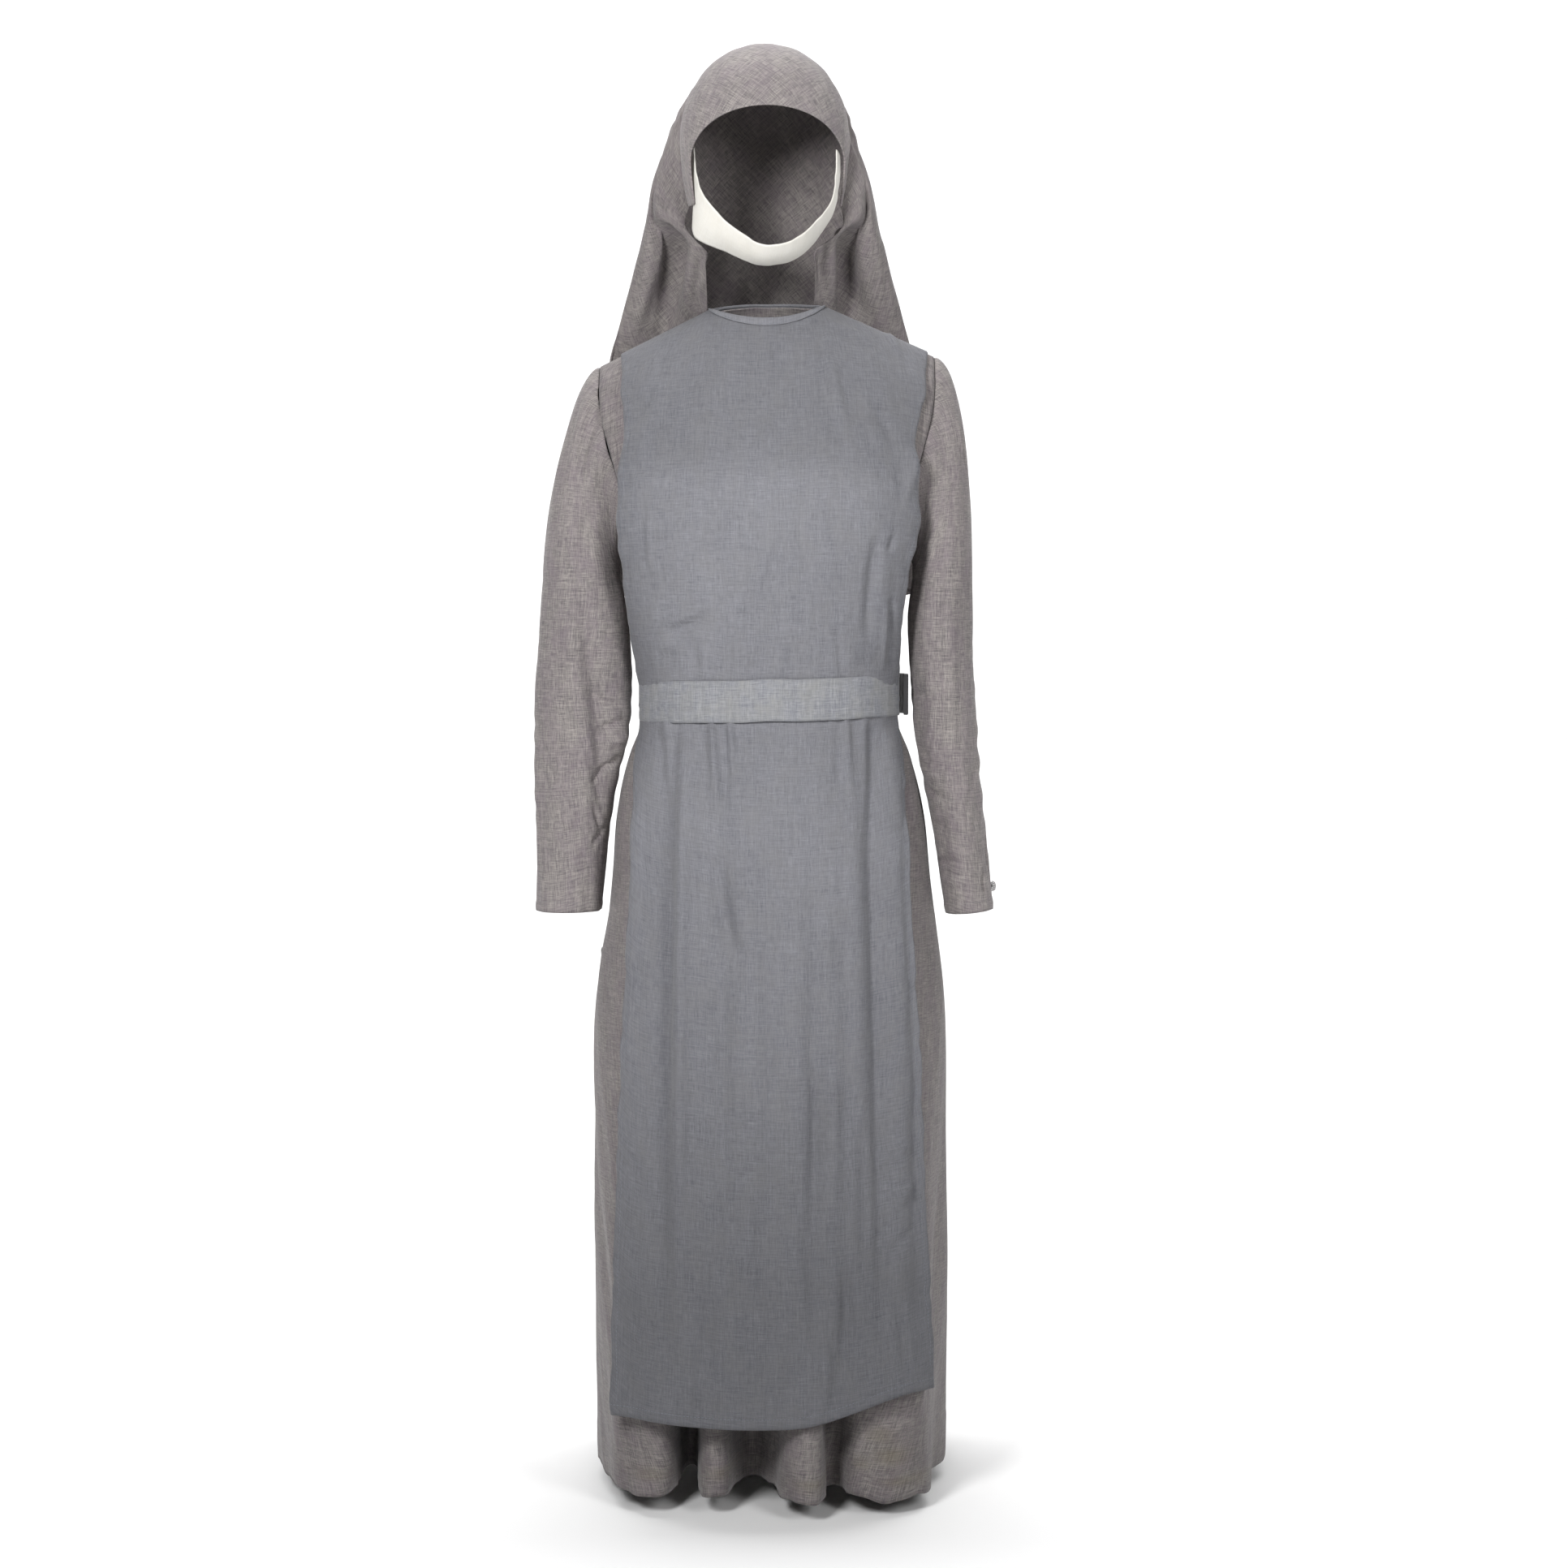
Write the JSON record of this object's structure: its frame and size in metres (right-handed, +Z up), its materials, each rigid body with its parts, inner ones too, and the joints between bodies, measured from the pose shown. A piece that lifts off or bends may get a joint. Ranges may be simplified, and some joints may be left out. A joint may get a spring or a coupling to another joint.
{
  "type": "nun habit",
  "caption": "Full-length worn habit: grey tunic with long sleeves, blue-grey scapular held by a cloth belt, and a headdress of cap band, draped veil and pale chin band.",
  "frame": {"origin": "base of the neck on the wearer's centre line, at the height of the neckline's corners, where the wearer carries the garment", "axes": "+Z up along the wearer's spine towards the crown, -Y the wearer's front, +X the wearer's left"},
  "size_m": [0.5392, 0.432, 1.6411],
  "materials": {
    "warm_grey_linen": "matt",
    "blue_grey_linen": "matt",
    "belt_linen": "matt",
    "ivory_cotton": "matt",
    "black_plastic": "satin",
    "dark_metal": "satin"
  },
  "bodies": {
    "root": {"tunic_front": "warm_grey_linen", "tunic_back": "warm_grey_linen", "sleeve_left": "warm_grey_linen", "sleeve_right": "warm_grey_linen", "scapular_front": "blue_grey_linen", "scapular_back": "blue_grey_linen", "neck_binding_front": "blue_grey_linen", "neck_binding_back": "blue_grey_linen", "cap_band": "warm_grey_linen", "veil": "warm_grey_linen", "chin_band": "ivory_cotton", "belt": "belt_linen", "belt_clasp": "black_plastic", "cuff_button_left": "warm_grey_linen", "cuff_button_right": "warm_grey_linen", "side_stud": "dark_metal"}
  },
  "joints": []
}
